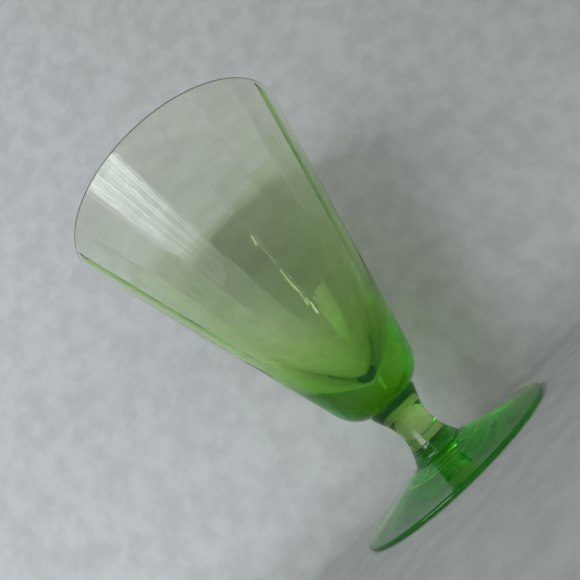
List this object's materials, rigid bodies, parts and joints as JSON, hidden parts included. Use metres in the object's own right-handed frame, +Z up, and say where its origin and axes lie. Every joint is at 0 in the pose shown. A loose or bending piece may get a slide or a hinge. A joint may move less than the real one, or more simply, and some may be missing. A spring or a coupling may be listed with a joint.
{
  "type": "footed tumbler",
  "caption": "Footed drinking glass in clear green glass: tall conical bowl with soft vertical panels on a short hourglass stem and a shallow round foot.",
  "frame": {"origin": "centre of the flat ring that the foot rests on", "axes": "+Z up along the axis that every piece is turned about, from the foot to the rim; X and Y are alike, because the glass is round"},
  "size_m": [0.0898, 0.0898, 0.13],
  "materials": {
    "bowl_glass": "smooth clear green glass, paler towards the rim",
    "bowl_merese_glass": "smooth clear glass, the deepest green",
    "stem_glass": "smooth clear light green glass",
    "foot_merese_glass": "smooth clear glass, the deepest green",
    "foot_glass": "smooth clear green glass, darker at the brim"
  },
  "bodies": {
    "root": {"bowl": "bowl_glass", "bowl_merese": "bowl_merese_glass", "stem": "stem_glass", "foot_merese": "foot_merese_glass", "foot": "foot_glass"}
  },
  "joints": []
}
